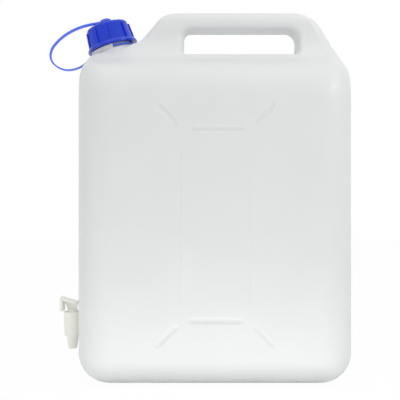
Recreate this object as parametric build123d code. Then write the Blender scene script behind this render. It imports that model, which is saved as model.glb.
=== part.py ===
from build123d import *
import math
import os

# Sizes are in millimetres and degrees. X runs along the can's width, Y through its depth
# and Z up. The origin is the middle of the base, on the surface that the can stands on.

# The can, measured outside
can_width = 313.0
can_depth = 150.0
can_height = 432.0
wall = 2.0
corner_radius = 38.0
base_radius = 35.0

# Front outline above the upright sides: the spout side is at -X. Each drop is measured down
# from the can's top. Each step is measured inwards: the handle's left end from the neck, the
# neck and the handle's right end from the can's sides, the slot from the handle's ends.
spout_shoulder_drop = 70.0
spout_shoulder_slope = 62.0
spout_shoulder_radius = 55.0
seat_bend_radius = 8.0
valley_radius = 26.0
handle_left_step = 61.4
handle_left_slope = 50.0
handle_left_radius = 27.0
handle_right_step = 40.0
handle_right_slope = 60.0
handle_right_radius = 40.0
plain_shoulder_radius = 85.0

# Side outline: the wide faces lean in to the handle
shoulder_drop = 110.0
shoulder_lean = 66.0
shoulder_round = 50.0
shoulder_hollow = 44.0
shoulder_steps = 22
handle_depth = 36.0
handle_edge = 12.0

# Finger slot through the handle
slot_left_step = 23.2
slot_right_step = 18.3
slot_floor_drop = 52.7
slot_roof_drop = 21.7
slot_roof_radii = (8.0, 13.0)
slot_floor_radius = 4.5
slot_mouth = 8.5

# Pressed-in ribs on both wide faces
rib_round = 5.3
rib_press = 1.6
panel_half_width = 39.0
panel_bottom = 75.5
panel_top_drop = 145.0
panel_bar_half = 33.0
panel_side_gap = 16.0
panel_side_press = 0.5
rib_fade = 7.0
corner_rib_start = 3.0
corner_rib_reach = 27.0

# Neck, on an axis that leans towards the spout side
neck_step = 35.7
neck_drop = 43.5
neck_tilt = 16.5
seat_radius = 26.0
seat_edge = 4.0
seat_step = 1.2
seat_length = 40.0
neck_radius = 21.4
neck_wall = 2.2
thread_depth = 1.5

# Screw cap
cap_gap = 3.6
cap_height = 27.5
cap_top_radius = 24.8
cap_side_draft = 5.0
cap_round = 3.5
cap_top_wall = 2.4
flange_radius = 30.2
flange_height = 4.6
flange_lip = 1.6
thread_clearance = 0.5
grip_ribs = 9
grip_rib_first = 10.0
grip_rib_width = 2.6
grip_rib_height = 1.7
grip_rib_top = 22.5
skirt_mouth = 3.0
stud_radius = 3.6
stud_foot_radius = 5.6
stud_foot = 4.2
stud_head_radius = 5.2
stud_head = 0.9
liner_thickness = 1.6
liner_clearance = 0.4

# Strap: its arch is drawn in the upright plane of the neck's axis
strap_thickness = 2.0
strap_width = 6.0
eye_radius = 7.5
eye_thickness = 2.2
eye_clearance = 0.3
ring_clearance = 0.7
ring_width = 3.0
ring_thickness = 1.4
ring_height = 1.0
arch_points = [
    (-18, 38.6), (-42, 37.3), (-63, 29.3), (-74.6, 17.8), (-74, 5.2), (-62, -6.2), (-47, -7.9),
    (-36.5, -4.9), (-30, -0.8),
]

# Tap
tap_height = 60.0
tap_reach = 13.8
barrel_top = 75.0
barrel_bottom = 46.0
barrel_top_radius = 10.5
barrel_bottom_radius = 9.8
plug_top_radius = 7.6
plug_bottom_radius = 7.0
plug_bore_radius = 4.6
outlet_radius = 3.7
outlet_length = 21.0
plug_clearance = 0.06
nozzle_end = 31.0
nozzle_end_radius = 5.2
plug_top_wall = 2.0
snap_height = 1.2
snap_radius = 7.9
snap_gap = 0.3
window_radius = 4.2
stem_radius = 8.6
stem_bore = 4.6
stem_length = 20.0
stem_clearance = 0.06
flange_disc_radius = 14.0
flange_disc_thickness = 2.6
gasket_thickness = 2.0
gasket_radius = 13.0
boss_radius = 12.5
boss_length = 14.0
lever_top = 92.6
lever_fall = 17.0
lever_reach = 14.0
lever_back = 6.0
lever_width = 17.0
lever_thickness = 2.6
lip_thickness = 3.4
lip_bottom = 76.0
lever_web = 4.0
plug_head_radius = 5.0
plug_head = 3.0

half_width = can_width / 2
half_depth = can_depth / 2
half_handle = handle_depth / 2
neck_x = neck_step - half_width
neck_z = can_height - neck_drop
handle_left = neck_x + handle_left_step
handle_right = half_width - handle_right_step
shoulder_start = can_height - shoulder_drop
slot_left = handle_left + slot_left_step
slot_right = handle_right - slot_right_step
slot_floor = can_height - slot_floor_drop
slot_roof = can_height - slot_roof_drop
panel_top = can_height - panel_top_drop
neck_frame = Pos(neck_x, 0, neck_z) * Rot(0, -neck_tilt, 0)
tap_x = -half_width - tap_reach
cap_bore = neck_radius + thread_depth + thread_clearance
neck_length = cap_gap + cap_height - cap_top_wall - liner_thickness
eye_height = cap_gap + cap_height + stud_foot + eye_clearance
BASE = (Align.CENTER, Align.CENTER, Align.MIN)
TOP = (Align.CENTER, Align.CENTER, Align.MAX)
FAR = 500.0


def crossing(p, p_angle, q, q_angle):
    """Where the line through p at one angle meets the line through q at another."""
    a, b = math.radians(p_angle), math.radians(q_angle)
    turn = math.cos(a) * math.sin(b) - math.sin(a) * math.cos(b)
    step = ((q[0] - p[0]) * math.sin(b) - (q[1] - p[1]) * math.cos(b)) / turn
    return p[0] + step * math.cos(a), p[1] + step * math.sin(a)


def fitted_rounds(corners, rounds):
    """Corner radii, made smaller together where the edge between two is too short for them."""
    reach = []
    for index, radius in enumerate(rounds):
        corner = corners[index]
        turn = (corner - corners[index - 1]).get_angle(corners[(index + 1) % len(corners)] - corner)
        reach.append(radius * math.tan(math.radians(turn / 2)))
    fitted = []
    for index, radius in enumerate(rounds):
        before, after = index - 1, (index + 1) % len(corners)
        scales = [
            0.99 * (corners[index] - corners[other]).length / (reach[index] + reach[other])
            for other in (before, after) if reach[index]
        ]
        fitted.append(radius * min([1, *scales]))
    return fitted


def rounded_outline(corners, radii, inset):
    """A face with rounded corners, given clockwise, its edge moved inwards by an inset."""
    moved, rounds = [], []
    for index, radius in enumerate(radii):
        corner = Vector(*corners[index])
        a = (corner - Vector(*corners[index - 1])).normalized()
        b = (Vector(*corners[(index + 1) % len(corners)]) - corner).normalized()
        moved.append(corner + Vector(a.Y + b.Y, -a.X - b.X) * (inset / (1 + a.dot(b))))
        hollow = a.X * b.Y > a.Y * b.X
        rounds.append(radius and radius + (inset if hollow else -inset))
    return make_face(FilletPolyline(*moved, radius=fitted_rounds(moved, rounds), close=True))


def front_outline(inset):
    """The can seen from the front, drawn in X and Z."""
    seat = (neck_x, neck_z - seat_step)
    handle_start = (handle_left, can_height)
    handle_end = (handle_right, can_height)
    shoulder = (-half_width, can_height - spout_shoulder_drop)
    corners = [
        (-half_width, 0),
        shoulder,
        crossing(seat, neck_tilt, shoulder, spout_shoulder_slope),
        crossing(seat, neck_tilt, handle_start, handle_left_slope),
        handle_start,
        handle_end,
        crossing(handle_end, -handle_right_slope, (half_width, 0), 90),
        (half_width, 0),
    ]
    radii = [
        0,
        spout_shoulder_radius,
        seat_bend_radius,
        valley_radius,
        handle_left_radius,
        handle_right_radius,
        plain_shoulder_radius,
        0,
    ]
    return rounded_outline(corners, radii, inset)


def side_outline(inset):
    """The can seen from the side, drawn in Y and Z."""
    lean = math.radians(shoulder_lean)
    outer_height = shoulder_start + shoulder_round * math.tan(lean / 2)
    inner_height = outer_height + (half_depth - half_handle) / math.tan(lean)
    left = [
        (-half_depth, 0),
        (-half_depth, outer_height),
        (-half_handle, inner_height),
        (-half_handle, can_height),
    ]
    right = [(-y, z) for y, z in reversed(left)]
    radii = [0, shoulder_round, shoulder_hollow, handle_edge]
    return rounded_outline(left + right, radii + radii[::-1], inset)


def span(outline, height):
    """The lowest and highest first coordinate of an outline at one height."""
    box = (outline & Line((-FAR, height), (FAR, height))).bounding_box()
    return box.min.X, box.max.X


def corner_at(depth):
    """Plan corner radius at a half-depth: it shrinks in step with the depth."""
    if depth < half_handle:
        return handle_edge * depth / half_handle
    share = (depth - half_handle) / (half_depth - half_handle)
    return handle_edge + (corner_radius - handle_edge) * share


def upper_heights(inset):
    """Heights of the sections: even up the shoulder, then even in angle round the crown."""
    start = shoulder_start - 1
    crown = can_height - handle_edge
    rise = [start + 1 + (crown - start - 1) * i / shoulder_steps for i in range(shoulder_steps)]
    edge = handle_edge - inset
    turn = [crown + edge * math.sin(math.radians(angle)) for angle in (0, 15, 30, 45, 60, 75, 89.5)]
    return [start] + rise + turn


def upper_form(inset):
    """The can above its upright part, moved inwards by an inset."""
    front, side = front_outline(inset), side_outline(inset)
    sections = []
    for height in upper_heights(inset):
        left, right = span(front, height)
        depth = span(side, height)[1]
        radius = min(corner_at(depth + inset) - inset, 0.96 * depth)
        plan = RectangleRounded(right - left, 2 * depth, radius)
        sections.append(Pos((left + right) / 2, 0, height) * plan)
    return loft(sections)


def lower_form(inset):
    """The upright part of the can, rounded all round its base."""
    plan = RectangleRounded(can_width - 2 * inset, can_depth - 2 * inset, corner_radius - inset)
    block = extrude(Pos(0, 0, inset) * plan, shoulder_start - 1 - inset)
    return fillet(block.edges().group_by(Axis.Z)[0], base_radius - inset)


def seat_form(inset):
    """The round seat that carries the neck."""
    seat = Pos(0, 0, -inset) * Cylinder(seat_radius - inset, seat_length, align=TOP)
    rim = seat.edges().sort_by(Axis.Z)[-1]
    return neck_frame * fillet(rim, seat_edge - inset)


def slot_outline(inset):
    """The finger slot, drawn in X and Z and grown by an inset."""
    corners = [
        (slot_left, slot_floor),
        (slot_left, slot_roof),
        (slot_right, slot_roof),
        (slot_right, slot_floor),
    ]
    radii = [slot_floor_radius, *slot_roof_radii, slot_floor_radius]
    return rounded_outline(corners, radii, -inset)


def cut_slot(body, inset):
    """Cut the finger slot and round both its mouths."""
    tool = extrude(Plane.XZ * slot_outline(inset), half_depth, both=True)
    body = body - tool
    reach = tool.bounding_box()
    mouth = [
        edge for edge in body.edges()
        if inside(edge.bounding_box(), reach) and abs(edge.center().Y) > half_handle / 2
        and not (edge.bounding_box().size.Y > half_handle)
    ]
    return fillet(mouth, slot_mouth - inset)


def inside(box, reach):
    """Whether one box lies in another, seen from the front."""
    slack = 0.01
    return (box.min.X > reach.min.X - slack and box.max.X < reach.max.X + slack
            and box.min.Z > reach.min.Z - slack and box.max.Z < reach.max.Z + slack)


def rib_lines():
    """Ends of the pressed ribs, in X and Z, with their depth: bars, corners and sides."""
    lines = []
    for height, way in ((panel_bottom, -1), (panel_top, 1)):
        lines.append(((-panel_bar_half, height), (panel_bar_half, height), rib_press))
        for side in (-1, 1):
            start = (side * (panel_half_width + 1), height + way * corner_rib_start)
            end = (start[0] + side * corner_rib_reach, start[1] + way * corner_rib_reach)
            lines.append((start, end, rib_press))
    for side in (-1, 1):
        x = side * panel_half_width
        low, high = panel_bottom + panel_side_gap, panel_top - panel_side_gap
        lines.append(((x, low), (x, high), panel_side_press))
    return lines


def press_ribs(body, inset):
    """Press the ribs into both wide faces, as grooves that fade out at both ends."""
    radius = rib_round + inset
    tools = []
    for (x0, z0), (x1, z1), press in rib_lines():
        away = half_depth + rib_round - press
        for y in (-away, away):
            start, end = Vector(x0, y, z0), Vector(x1, y, z1)
            length = (end - start).length
            tip = radius - press
            groove = turned(
                (0, 0), (tip, 0), (radius, rib_fade), (radius, length - rib_fade),
                (tip, length), (0, length),
            )
            tools.append(Plane(origin=start, z_dir=end - start) * groove)
    return body - tools


def can_form(inset):
    """The blown form of the can, moved inwards by an inset."""
    body = lower_form(inset) + upper_form(inset) + seat_form(inset)
    return press_ribs(cut_slot(body, inset), inset)


def neck_tube():
    """The neck, from inside the seat to its sealing rim."""
    length = neck_length + 2 * wall
    return neck_frame * Pos(0, 0, -2 * wall) * Cylinder(neck_radius, length, align=BASE)


def neck_bore():
    length = neck_length + 2 * seat_edge
    return neck_frame * Pos(0, 0, neck_length) * Cylinder(
        neck_radius - neck_wall, length, align=TOP)


def along_x(radius, start, length):
    """A round bar along X at the tap's height."""
    return Pos(start, 0, tap_height) * Rot(0, 90, 0) * Cylinder(radius, length, align=BASE)


def can_body():
    """The blown can: an even wall, the neck and the socket for the tap."""
    shell = can_form(0) - can_form(wall)
    shell = shell + neck_tube() + along_x(boss_radius, -half_width + wall / 2, boss_length)
    hole = along_x(stem_radius + stem_clearance, -half_width - wall, boss_length + 3 * wall)
    return shell - neck_bore() - hole


def turned(*points):
    """A piece turned round the Z axis from its half section."""
    return revolve(Plane.XZ * make_face(Polyline(*points, close=True)), Axis.Z)


def upright_plate(outline, thickness):
    """A plate standing in X and Z, centred on the can's middle plane."""
    return extrude(Plane.XZ * outline, thickness / 2, both=True)


def cap_side(height):
    """Radius of the cap's drafted side at a height above the cap's lower rim."""
    return cap_top_radius + (cap_height - height) * math.tan(math.radians(cap_side_draft))


def grip_rib():
    """One upright grip rib, on the X axis."""
    inner = cap_bore + thread_clearance
    outline = Polyline(
        (inner, flange_lip), (cap_side(flange_lip) + grip_rib_height, flange_lip),
        (cap_side(grip_rib_top) + grip_rib_height, grip_rib_top), (inner, grip_rib_top),
        close=True,
    )
    return upright_plate(make_face(outline), grip_rib_width)


def stud():
    """The stud on the cap's top that the strap's eye turns on."""
    pin = stud_foot + eye_thickness + 2 * eye_clearance
    foot = Cone(stud_foot_radius, stud_foot_radius - eye_clearance, stud_foot, align=BASE)
    head = Pos(0, 0, pin) * Cylinder(stud_head_radius, stud_head, align=BASE)
    return Pos(0, 0, cap_height) * (foot + Cylinder(stud_radius, pin, align=BASE) + head)


def screw_cap():
    """The screw cap: ribbed side, flange, stud and a bore with room for the thread."""
    flare = cap_side(flange_height) + grip_rib_height
    cap = turned(
        (0, 0), (flange_radius, 0), (flange_radius, flange_lip), (flare, flange_height),
        (cap_side(flange_height), flange_height), (cap_top_radius, cap_height), (0, cap_height),
    )
    cap = fillet(cap.edges().filter_by(GeomType.CIRCLE).sort_by(Axis.Z)[-1], cap_round)
    for index in range(grip_ribs):
        cap += Rot(0, 0, grip_rib_first - 90 + index * 360 / grip_ribs) * grip_rib()
    cap = cap + stud() - Cylinder(cap_bore, cap_height - cap_top_wall, align=BASE)
    cap -= Cone(cap_bore + skirt_mouth / 2, cap_bore, skirt_mouth, align=BASE)
    return neck_frame * Pos(0, 0, cap_gap) * cap


def cap_liner():
    """The soft disc that seals the neck."""
    disc = Cylinder(cap_bore - liner_clearance, liner_thickness, align=BASE)
    return neck_frame * Pos(0, 0, neck_length) * disc


def cap_strap():
    """The strap: an eye on the cap's stud, an arched band and a ring round the neck."""
    eye = Pos(0, 0, eye_height) * Cylinder(eye_radius, eye_thickness, align=BASE)
    eye_hole = Pos(0, 0, eye_height) * Cylinder(
        stud_radius + eye_clearance, eye_thickness, align=BASE)
    ring_hole = neck_radius + ring_clearance
    ring = Pos(0, 0, ring_height) * Cylinder(ring_hole + ring_width, ring_thickness)
    clear_of_stud = -stud_head_radius - eye_clearance
    ends = (
        (clear_of_stud, eye_height + eye_thickness / 2),
        (-ring_hole - ring_width / 2, ring_height),
    )
    arch = Plane.XZ * Spline(ends[0], *arch_points, ends[1])
    across = Plane(origin=arch @ 0, x_dir=(0, 1, 0), z_dir=arch % 0)
    band = sweep(across * Rectangle(strap_width, strap_thickness), path=arch)
    strap = eye + band + ring - eye_hole - Cylinder(ring_hole, 4 * ring_thickness)
    return neck_frame * strap


def tap_body():
    """The tap's fixed half: barrel, flange and stem."""
    tall = barrel_top - barrel_bottom
    barrel = Pos(tap_x, 0, barrel_bottom) * Cone(
        barrel_bottom_radius, barrel_top_radius, tall, align=BASE)
    seat = Pos(tap_x, 0, barrel_bottom) * Cone(plug_bottom_radius, plug_top_radius, tall, align=BASE)
    outer_face = -half_width - gasket_thickness
    disc = along_x(flange_disc_radius, outer_face - flange_disc_thickness, flange_disc_thickness)
    stem = along_x(stem_radius, outer_face, stem_length)
    passage = along_x(stem_bore, tap_x, FAR / 2)
    return barrel + disc + stem - seat - passage


def tap_plug():
    """The tap's turning half: tapered plug, lever and nozzle."""
    fit = plug_clearance
    snap_top = barrel_bottom - snap_gap
    head_top = barrel_top + plug_head
    plug = turned(
        (0, head_top), (plug_head_radius, head_top), (plug_top_radius - fit, barrel_top),
        (plug_bottom_radius - fit, barrel_bottom), (plug_bottom_radius - fit, snap_top),
        (snap_radius, snap_top), (plug_bottom_radius, snap_top - snap_height),
        (nozzle_end_radius, nozzle_end), (0, nozzle_end),
    )
    top_of_outlet = nozzle_end + outlet_length
    top_of_bore = barrel_top - plug_top_wall
    bore = Pos(0, 0, nozzle_end) * Cylinder(outlet_radius, outlet_length, align=BASE)
    bore += Pos(0, 0, top_of_outlet) * Cylinder(
        plug_bore_radius, top_of_bore - top_of_outlet, align=BASE)
    window = Pos(0, 0, tap_height) * Rot(90, 0, 0) * Cylinder(window_radius, FAR, align=BASE)
    return Pos(tap_x, 0, 0) * (plug + lever() - bore - window)


def lever():
    """The lever: a sloping hood with a lip turned down at its end, on an upright web."""
    fall = math.tan(math.radians(lever_fall))
    length = lever_reach + lever_back
    hood = Polyline(
        (-lever_reach, lip_bottom), (-lever_reach, lever_top),
        (lever_back, lever_top - length * fall),
        (lever_back, lever_top - length * fall - lever_thickness),
        (lip_thickness - lever_reach, lever_top - lip_thickness * fall - lever_thickness),
        (lip_thickness - lever_reach, lip_bottom), close=True,
    )
    web = Polyline(
        (lip_thickness - lever_reach, lever_top - lever_thickness),
        (lever_back, lever_top - length * fall - lever_thickness / 2),
        (plug_head_radius, barrel_top + plug_head / 2),
        (-plug_head_radius, barrel_top + plug_head / 2), close=True,
    )
    plate = upright_plate(make_face(hood), lever_width)
    return plate + upright_plate(make_face(web), lever_web)


def tap_gasket():
    """The rubber ring between the tap's flange and the can's wall."""
    ring = along_x(gasket_radius, -half_width - gasket_thickness, gasket_thickness)
    hole = along_x(stem_radius + stem_clearance, -half_width - gasket_thickness, gasket_thickness)
    return ring - hole


PIECES = {
    "can_body": can_body,
    "screw_cap": screw_cap,
    "cap_liner": cap_liner,
    "cap_strap": cap_strap,
    "tap_body": tap_body,
    "tap_plug": tap_plug,
    "tap_gasket": tap_gasket,
}

if __name__ == "__main__":
    os.makedirs("parts", exist_ok=True)
    for name, make in PIECES.items():
        export_step(make(), f"parts/{name}.step")
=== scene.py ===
import math

import bpy
from mathutils import Matrix, Vector


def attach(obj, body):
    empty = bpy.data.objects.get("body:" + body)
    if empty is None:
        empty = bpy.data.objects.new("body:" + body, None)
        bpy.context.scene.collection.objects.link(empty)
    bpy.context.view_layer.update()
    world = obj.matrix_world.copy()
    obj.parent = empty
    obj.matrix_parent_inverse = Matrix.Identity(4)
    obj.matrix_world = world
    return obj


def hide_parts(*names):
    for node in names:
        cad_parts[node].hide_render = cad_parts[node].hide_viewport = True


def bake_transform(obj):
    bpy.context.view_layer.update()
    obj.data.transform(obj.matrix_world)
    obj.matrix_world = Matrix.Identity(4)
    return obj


# Sizes are in metres and angles in degrees.

# The neck leans towards the tap side. Its foot is where its axis meets the can's seat.
NECK_TILT = 16.5
LEAN = math.radians(NECK_TILT)
NECK_FOOT = Vector((-0.1208, 0, 0.3885))
NECK_AXIS = Vector((-math.sin(LEAN), 0, math.cos(LEAN)))
NECK_SIDE = Vector((math.cos(LEAN), 0, math.sin(LEAN)))

# Its middle line from the eye to the ring: along the neck's plane, and up the neck's axis
STRAP_LINE = (
    (-0.0055, 0.0367), (-0.018, 0.0386), (-0.030, 0.0389), (-0.042, 0.0373), (-0.053, 0.0343),
    (-0.063, 0.0293), (-0.0703, 0.0242), (-0.0746, 0.0178), (-0.0756, 0.0115), (-0.074, 0.0052),
    (-0.069, -0.0015), (-0.062, -0.0062), (-0.0545, -0.0079), (-0.047, -0.0079),
    (-0.0415, -0.0069), (-0.0365, -0.0049), (-0.030, -0.0008), (-0.0236, 0.001),
)
STRAP_WIDTH = 0.006
STRAP_TOP_THICKNESS = 0.0026
STRAP_LOW_THICKNESS = 0.0015
STRAP_ROUND = 0.0007
RING_INNER, RING_OUTER = 0.0221, 0.0251
RING_LOW, RING_HIGH = 0.0003, 0.0017
RING_ROUND = 0.0004
EYE_INNER, EYE_OUTER = 0.0039, 0.0075
EYE_LOW, EYE_HIGH = 0.0356, 0.0378
EYE_ROUND = 0.0006
RING_SIDES = 72

# The screw thread: one ridge on the neck and one in the cap, half a pitch apart
THREAD_PITCH = 0.006
THREAD_TURNS = 1.75
THREAD_WIDTH = 0.0024
THREAD_CREST_SHARE = 0.4
THREAD_SIDES = 48
NECK_THREAD_START = 0.009
NECK_RADIUS, NECK_CREST = 0.0213, 0.0229
CAP_BORE, CAP_CREST = 0.0235, 0.0219

# The ratchet collar that stops the cap: two arcs, open where the strap's band leaves
COLLAR_INNER, COLLAR_OUTER = 0.0254, 0.0265
COLLAR_LOW, COLLAR_HIGH = -0.0015, 0.0029
COLLAR_START, COLLAR_TEETH, TOOTH_STEP, TOOTH_SKEW = 200.0, 19, 4.0, 22

# The studio. Each lamp has its place, the point it shines at, its size and its power in watts.
FLOOR_SIZE = 6
LAMPS = {
    "top_panel": ((-0.1, -0.4, 1.5), (0, 0, 0.2), (1.4, 1.4), 4.0),
    "table_panel": ((-0.01, -0.17, 0.003), (-0.01, -0.17, 0.5), (0.42, 0.14), 0.17),
    "left_panel": ((-1.1, -0.7, 0.15), (-0.1, 0, 0.1), (0.5, 0.5), 1.6),
    "right_panel": ((0.8, -0.6, 0.8), (-0.12, 0, 0.4), (0.3, 0.3), 2.6),
}
CAMERA_PLACE = (-0.017, -0.870, 0.209)
LENS, SENSOR = 65, 36


def from_hex(text):
    """An sRGB hex colour as linear red, green, blue and alpha."""
    parts = [int(text[i:i + 2], 16) / 255 for i in (1, 3, 5)]
    linear = [p / 12.92 if p <= 0.04045 else ((p + 0.055) / 1.055) ** 2.4 for p in parts]
    return (*linear, 1)


def add_node(tree, kind, settings=(), links=()):
    """Add a node. Settings name its properties or sockets, links join its inputs."""
    node = tree.nodes.new(kind)
    for name, value in dict(settings).items():
        if isinstance(name, str) and hasattr(node, name):
            setattr(node, name, value)
        else:
            node.inputs[name].default_value = value
    for name, output in dict(links).items():
        tree.links.new(output, node.inputs[name])
    return node


def new_material(name):
    """An empty node material and its tree."""
    material = bpy.data.materials.new(name)
    material.use_nodes = True
    material.node_tree.nodes.clear()
    return material, material.node_tree


def finish_material(tree, shader):
    """Join a shader to the material's surface."""
    output = add_node(tree, "ShaderNodeOutputMaterial")
    tree.links.new(shader.outputs[0], output.inputs["Surface"])


def natural_polyethylene():
    """Blow-moulded natural HDPE: milky, satin, a little light comes through its 2 mm wall."""
    material, tree = new_material("natural_hdpe_blow_moulded")
    place = add_node(tree, "ShaderNodeTexCoord")
    # The parison cools unevenly, so the wall is cloudy over patches of about 60 mm.
    cloud = add_node(tree, "ShaderNodeTexNoise", {"Scale": 16.0, "Detail": 2.0},
                     {"Vector": place.outputs["Object"]})
    tint = add_node(tree, "ShaderNodeMix", {"data_type": "RGBA", 6: from_hex("#E2E5E6"),
                                            7: from_hex("#E7E8E8")},
                    {0: cloud.outputs["Fac"]})
    # A fine orange peel from the sand-blasted mould, drawn about 2 mm coarse so that it shows.
    grain = add_node(tree, "ShaderNodeTexNoise", {"Scale": 500.0, "Detail": 1.0},
                     {"Vector": place.outputs["Object"]})
    relief = add_node(tree, "ShaderNodeBump", {"Strength": 0.04, "Distance": 0.0002},
                      {"Height": grain.outputs["Fac"]})
    shader = add_node(
        tree, "ShaderNodeBsdfPrincipled",
        {"Roughness": 0.42, "IOR": 1.54, "Subsurface Weight": 0.25,
         "Subsurface Radius": (0.02, 0.02, 0.021), "Subsurface Scale": 0.5},
        {"Base Color": tint.outputs[2], "Normal": relief.outputs["Normal"]})
    finish_material(tree, shader)
    return material


def moulded_plastic(name, colour, roughness, ior, subsurface):
    """An injection-moulded plastic with a faint unevenness in its gloss."""
    material, tree = new_material(name)
    place = add_node(tree, "ShaderNodeTexCoord")
    # Flow unevenness over about 5 mm changes how far the gloss spreads.
    flow = add_node(tree, "ShaderNodeTexNoise", {"Scale": 200.0, "Detail": 2.0},
                    {"Vector": place.outputs["Object"]})
    spread = add_node(tree, "ShaderNodeMapRange",
                      {"To Min": roughness - 0.04, "To Max": roughness + 0.04},
                      {"Value": flow.outputs["Fac"]})
    shader = add_node(
        tree, "ShaderNodeBsdfPrincipled",
        {"Base Color": from_hex(colour), "IOR": ior, "Specular IOR Level": 0.3,
         "Subsurface Weight": subsurface,
         "Subsurface Radius": (0.004, 0.004, 0.006), "Subsurface Scale": 0.5},
        {"Roughness": spread.outputs["Result"]})
    finish_material(tree, shader)
    return material


def dress(frame):
    """Give every CAD piece the material of the real one."""
    milky = natural_polyethylene()
    # Stiff, glossy HDPE, coloured right through with a deep blue pigment
    cap_blue = moulded_plastic("blue_hdpe_injection_moulded", "#0A36C8", 0.25, 1.54, 0.0)
    # Soft LDPE that bends: the same blue, paler and waxier
    strap_blue = moulded_plastic("blue_ldpe_injection_moulded", "#5676F6", 0.3, 1.51, 0.0)
    # Unpigmented LDPE: warmer than the can and a little translucent
    tap_milky = moulded_plastic("natural_ldpe_injection_moulded", "#F1F1E8", 0.32, 1.51, 0.2)
    # The cap's liner has a dull, closed-cell face.
    foam = moulded_plastic("white_foamed_polyethylene", "#ECECE8", 0.75, 1.45, 0.0)
    # The tap's gasket is plain black sheet rubber.
    black = moulded_plastic("black_nitrile_rubber", "#1E1E20", 0.7, 1.52, 0.0)
    for node, material in {
        "can_body": milky, "screw_cap": cap_blue, "cap_liner": foam, "cap_strap": strap_blue,
        "tap_body": tap_milky, "tap_plug": tap_milky, "tap_gasket": black,
    }.items():
        mesh = frame["nodes"][node].data
        mesh.materials.clear()
        mesh.materials.append(material)
    return milky, cap_blue, strap_blue


def neck_point(along, up):
    """A point in the neck's upright plane: along the seat and up the neck's axis."""
    return NECK_FOOT + NECK_SIDE * along + NECK_AXIS * up


def on_neck(piece):
    """Move a piece made at the world origin on to the leaning neck."""
    piece.data.transform(Matrix.Translation(NECK_FOOT) @ Matrix.Rotation(-LEAN, 4, "Y"))


def deselect_all():
    bpy.ops.object.select_all(action="DESELECT")


def begin(name, material):
    """Name the piece just added and give it its material, with nothing else selected."""
    piece = bpy.context.object
    deselect_all()
    piece.select_set(True)
    piece.name = name
    piece.data.materials.append(material)
    return piece


def place_in_mesh():
    """Put the active piece's place, turn and scale into its mesh."""
    bpy.ops.object.transform_apply(location=True, rotation=True, scale=True)


def smooth(angle=35):
    """Shade the active piece smooth, with edges above the angle left sharp."""
    bpy.ops.object.shade_smooth_by_angle(angle=math.radians(angle))


def edit_all():
    """Go into edit mode with the whole piece selected."""
    bpy.ops.object.mode_set(mode="EDIT")
    bpy.ops.mesh.select_all(action="SELECT")


def close_edit():
    """Turn every face of the piece outwards and leave edit mode."""
    bpy.ops.mesh.select_all(action="SELECT")
    bpy.ops.mesh.normals_make_consistent(inside=False)
    bpy.ops.object.mode_set(mode="OBJECT")


def round_edges(piece, width, angle):
    """Round the piece's edges above an angle in radians."""
    edge = piece.modifiers.new("rounded_edges", "BEVEL")
    edge.width, edge.segments, edge.limit_method, edge.angle_limit = width, 2, "ANGLE", angle
    bpy.ops.object.modifier_apply(modifier=edge.name)


def washer(name, material, inner, outer, low, high, round_off):
    """A flat ring round the neck's axis with rounded edges."""
    deselect_all()
    bpy.ops.mesh.primitive_circle_add(vertices=RING_SIDES, radius=outer, fill_type="NOTHING",
                                      location=(0, 0, low))
    piece = begin(name, material)
    edit_all()
    bpy.ops.mesh.extrude_region_move(TRANSFORM_OT_translate={"value": (0, 0, 0)})
    bpy.ops.transform.resize(value=(inner / outer,) * 3, center_override=(0, 0, low))
    bpy.ops.mesh.select_all(action="SELECT")
    bpy.ops.mesh.extrude_region_move(TRANSFORM_OT_translate={"value": (0, 0, high - low)})
    close_edit()
    place_in_mesh()
    round_edges(piece, round_off, math.radians(30))
    smooth()
    on_neck(piece)
    return piece


def strap_stations():
    """Points close together on a smooth curve that follows the strap's line."""
    path = bpy.data.curves.new("strap_line", "CURVE")
    path.dimensions = "3D"
    spline = path.splines.new("NURBS")
    spline.points.add(len(STRAP_LINE) - 1)
    for point, (along, up) in zip(spline.points, STRAP_LINE):
        point.co = (*neck_point(along, up), 1)
    spline.order_u, spline.use_endpoint_u, spline.resolution_u = 4, True, 6
    guide = bpy.data.objects.new("strap_line", path)
    bpy.context.scene.collection.objects.link(guide)
    stations = [vertex.co.copy() for vertex in guide.to_mesh().vertices]
    guide.to_mesh_clear()
    bpy.data.objects.remove(guide)
    return stations


def strap_ribbon(material):
    """The strap's band: a rounded flat ribbon drawn along its line, thinner in its lower run."""
    stations = strap_stations()
    last = len(stations) - 1
    thinner = (STRAP_LOW_THICKNESS / STRAP_TOP_THICKNESS) ** (1 / last)
    before = (stations[1] - stations[0]).normalized()
    facing = Matrix.Rotation(math.atan2(before.x, before.z), 4, "Y")

    deselect_all()
    bpy.ops.mesh.primitive_plane_add(size=1, location=(0, 0, 0))
    piece = begin("strap_band", material)
    piece.scale = (STRAP_TOP_THICKNESS, STRAP_WIDTH, 1)
    place_in_mesh()
    piece.data.transform(Matrix.Translation(stations[0]) @ facing)
    edit_all()
    for index in range(last):
        here = stations[index + 1]
        after = (stations[min(index + 2, last)] - stations[index]).normalized()
        turn = math.atan2(before.z * after.x - before.x * after.z, before.dot(after))
        bpy.ops.mesh.extrude_region_move(
            TRANSFORM_OT_translate={"value": here - stations[index]})
        bpy.ops.transform.rotate(value=-turn, orient_axis="Y", center_override=here)
        bpy.ops.transform.resize(value=(thinner, 1, thinner), center_override=here)
        before = after
    close_edit()
    round_edges(piece, STRAP_ROUND, 1.0)
    smooth(40)
    return piece


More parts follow.
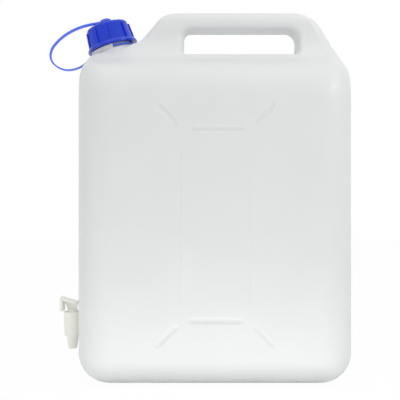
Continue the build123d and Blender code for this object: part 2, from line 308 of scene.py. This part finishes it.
def bending_strap(material):
    """The strap, one moulding: its ring, its eye and its band joined into one piece in place of
    the CAD strap.
    """
    ring = washer("strap_ring", material, RING_INNER, RING_OUTER, RING_LOW, RING_HIGH,
                  RING_ROUND)
    eye = washer("strap_eye", material, EYE_INNER, EYE_OUTER, EYE_LOW, EYE_HIGH, EYE_ROUND)
    ribbon = strap_ribbon(material)
    deselect_all()
    for part in (ring, eye, ribbon):
        part.select_set(True)
    bpy.context.view_layer.objects.active = ribbon
    bpy.ops.object.join()
    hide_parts("cap_strap")
    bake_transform(ribbon)


def thread_ridge(name, material, root, crest, start, rider):
    """A screw ridge standing out from its root radius to its crest radius."""
    deselect_all()
    bpy.ops.mesh.primitive_plane_add(size=1, location=((root + crest) / 2, 0, start),
                                     rotation=(math.pi / 2, 0, 0))
    piece = begin(name, material)
    piece.scale = (abs(crest - root), THREAD_WIDTH, 1)
    place_in_mesh()
    for vertex in piece.data.vertices:
        if abs(vertex.co.x - crest) < abs(vertex.co.x - root):
            vertex.co.z = start + (vertex.co.z - start) * THREAD_CREST_SHARE
    screw = piece.modifiers.new("screw", "SCREW")
    screw.angle = math.tau * THREAD_TURNS
    screw.screw_offset = THREAD_PITCH * THREAD_TURNS
    screw.steps = screw.render_steps = int(THREAD_SIDES * THREAD_TURNS)
    bpy.ops.object.modifier_apply(modifier=screw.name)
    edit_all()
    bpy.ops.mesh.remove_doubles(threshold=0.00001)
    bpy.ops.mesh.fill_holes(sides=4)
    close_edit()
    smooth()
    on_neck(piece)
    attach(piece, rider)


def ratchet_collar(material):
    """Teeth on the can's shoulder round the neck, in an arc at the front and one at the back."""
    radius = (COLLAR_INNER + COLLAR_OUTER) / 2
    width = math.radians(TOOTH_STEP) * radius
    for side in (1, -1):
        teeth = []
        for index in range(COLLAR_TEETH):
            angle = side * math.radians(COLLAR_START + index * TOOTH_STEP)
            place = (radius * math.cos(angle), radius * math.sin(angle),
                     (COLLAR_LOW + COLLAR_HIGH) / 2)
            deselect_all()
            bpy.ops.mesh.primitive_cube_add(size=1, location=place,
                                            rotation=(0, 0, angle + math.radians(TOOTH_SKEW)))
            tooth = begin("tooth", material)
            tooth.scale = (COLLAR_OUTER - COLLAR_INNER, width, COLLAR_HIGH - COLLAR_LOW)
            place_in_mesh()
            smooth()
            teeth.append(tooth)
        for tooth in teeth:
            tooth.select_set(True)
        bpy.ops.object.join()
        collar = bpy.context.object
        collar.name = "ratchet_front" if side > 0 else "ratchet_back"
        on_neck(collar)
        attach(collar, "can")


def white_for_camera(tree, shader, share):
    """Mix a shader with plain white where the camera, gloss or clear parts see it."""
    path = add_node(tree, "ShaderNodeLightPath")
    seen = add_node(tree, "ShaderNodeMath", {"operation": "MAXIMUM"},
                    {0: path.outputs["Is Camera Ray"], 1: path.outputs["Is Glossy Ray"]})
    seen = add_node(tree, "ShaderNodeMath", {"operation": "MAXIMUM"},
                    {0: seen.outputs[0], 1: path.outputs["Is Transmission Ray"]})
    seen = add_node(tree, "ShaderNodeMath", {"operation": "MULTIPLY", 1: share},
                    {0: seen.outputs[0]})
    return add_node(tree, "ShaderNodeMixShader", (),
                    {0: seen.outputs[0], 1: shader.outputs[0],
                     2: add_node(tree, "ShaderNodeEmission",
                                 {"Color": (1, 1, 1, 1), "Strength": 1.0}).outputs[0]})


def studio():
    """A white table in a white tent, whose walls are dimmer to the left and right."""
    deselect_all()
    bpy.ops.mesh.primitive_plane_add(size=FLOOR_SIZE, location=(0, 0, 0))
    floor = bpy.context.object
    floor.name = "table_floor"
    material, tree = new_material("white_table")
    matt = add_node(tree, "ShaderNodeBsdfDiffuse", {"Color": (0.98, 0.98, 0.98, 1)})
    finish_material(tree, white_for_camera(tree, matt, 0.96))
    floor.data.materials.append(material)

    world = bpy.data.worlds.new("white_tent")
    bpy.context.scene.world = world
    world.use_nodes = True
    tree = world.node_tree
    tree.nodes.clear()
    way = add_node(tree, "ShaderNodeTexCoord")
    parts = add_node(tree, "ShaderNodeSeparateXYZ", (), {0: way.outputs["Generated"]})
    side = add_node(tree, "ShaderNodeMath", {"operation": "ABSOLUTE"}, {0: parts.outputs["X"]})
    level = add_node(tree, "ShaderNodeMapRange", {"From Min": 0.3, "From Max": 1.0,
                                                  "To Min": 0.72, "To Max": 0.5},
                     {"Value": side.outputs[0]})
    tent = add_node(tree, "ShaderNodeBackground", {"Color": (1, 1, 1, 1)},
                    {"Strength": level.outputs["Result"]})
    output = add_node(tree, "ShaderNodeOutputWorld")
    tree.links.new(white_for_camera(tree, tent, 1.0).outputs[0], output.inputs["Surface"])

    for name, (place, aim, size, power) in LAMPS.items():
        bpy.ops.object.light_add(type="AREA", location=place)
        lamp = bpy.context.object
        lamp.name = name
        lamp.data.shape = "RECTANGLE"
        lamp.data.size, lamp.data.size_y = size
        lamp.data.energy = power
        lamp.rotation_euler = (Vector(aim) - Vector(place)).to_track_quat("-Z", "Y").to_euler()


def camera():
    """The photograph's view: level, straight at the can's wide face."""
    data = bpy.data.cameras.new("camera")
    data.lens, data.sensor_width = LENS, SENSOR
    eye = bpy.data.objects.new("camera", data)
    eye.location = CAMERA_PLACE
    eye.rotation_euler = (math.pi / 2, 0, 0)
    bpy.context.scene.collection.objects.link(eye)
    bpy.context.scene.camera = eye


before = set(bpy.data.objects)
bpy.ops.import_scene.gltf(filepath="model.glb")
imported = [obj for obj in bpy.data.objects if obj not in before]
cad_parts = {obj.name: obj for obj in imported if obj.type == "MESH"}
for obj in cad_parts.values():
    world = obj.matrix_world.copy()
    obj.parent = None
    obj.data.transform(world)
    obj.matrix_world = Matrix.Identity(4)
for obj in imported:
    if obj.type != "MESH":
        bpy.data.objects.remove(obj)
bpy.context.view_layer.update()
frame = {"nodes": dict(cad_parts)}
bpy.context.scene.view_settings.view_transform = "Standard"
milky, cap_blue, strap_blue = dress(frame)
bending_strap(strap_blue)
thread_ridge("neck_thread", milky, NECK_RADIUS, NECK_CREST, NECK_THREAD_START, "can")
thread_ridge("cap_thread", cap_blue, CAP_BORE, CAP_CREST,
             NECK_THREAD_START + THREAD_PITCH / 2, "cap")
ratchet_collar(milky)
studio()
camera()
